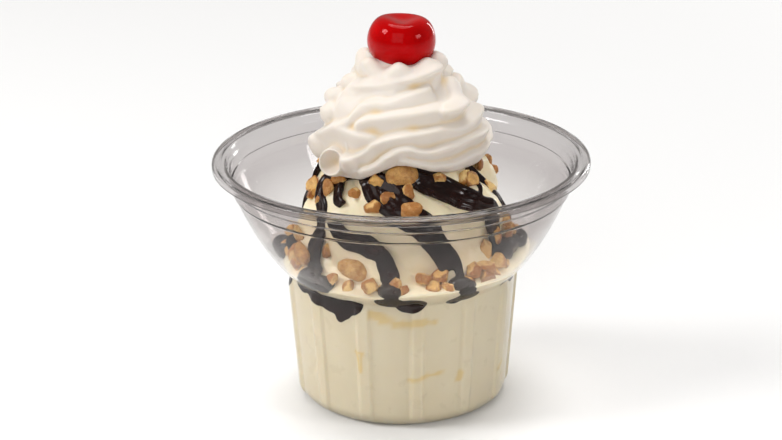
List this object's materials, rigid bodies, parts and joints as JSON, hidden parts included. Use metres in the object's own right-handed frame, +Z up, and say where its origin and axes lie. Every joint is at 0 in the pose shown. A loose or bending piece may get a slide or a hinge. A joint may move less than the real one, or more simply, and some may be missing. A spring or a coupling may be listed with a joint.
{
  "type": "ice cream sundae",
  "caption": "Ice cream sundae in a clear ribbed plastic cup: soft-serve, hot fudge, chopped peanuts, whipped cream and a cherry.",
  "frame": {"origin": "centre of the cup's flat base, on the surface that it stands on", "axes": "+Z up along the cup's axis, -Y to the front that the picture shows, +X to its right"},
  "size_m": [0.1159, 0.1158, 0.1211],
  "materials": {
    "clear_plastic": "clear glossy thermoformed plastic",
    "soft_serve": "smooth moist vanilla soft-serve",
    "whipped_cream": "soft satin cream",
    "cherry": "wet glossy skin"
  },
  "bodies": {
    "root": {"cup": "clear_plastic", "ice_cream": "soft_serve", "whipped_cream": "whipped_cream", "cherry": "cherry"}
  },
  "joints": []
}
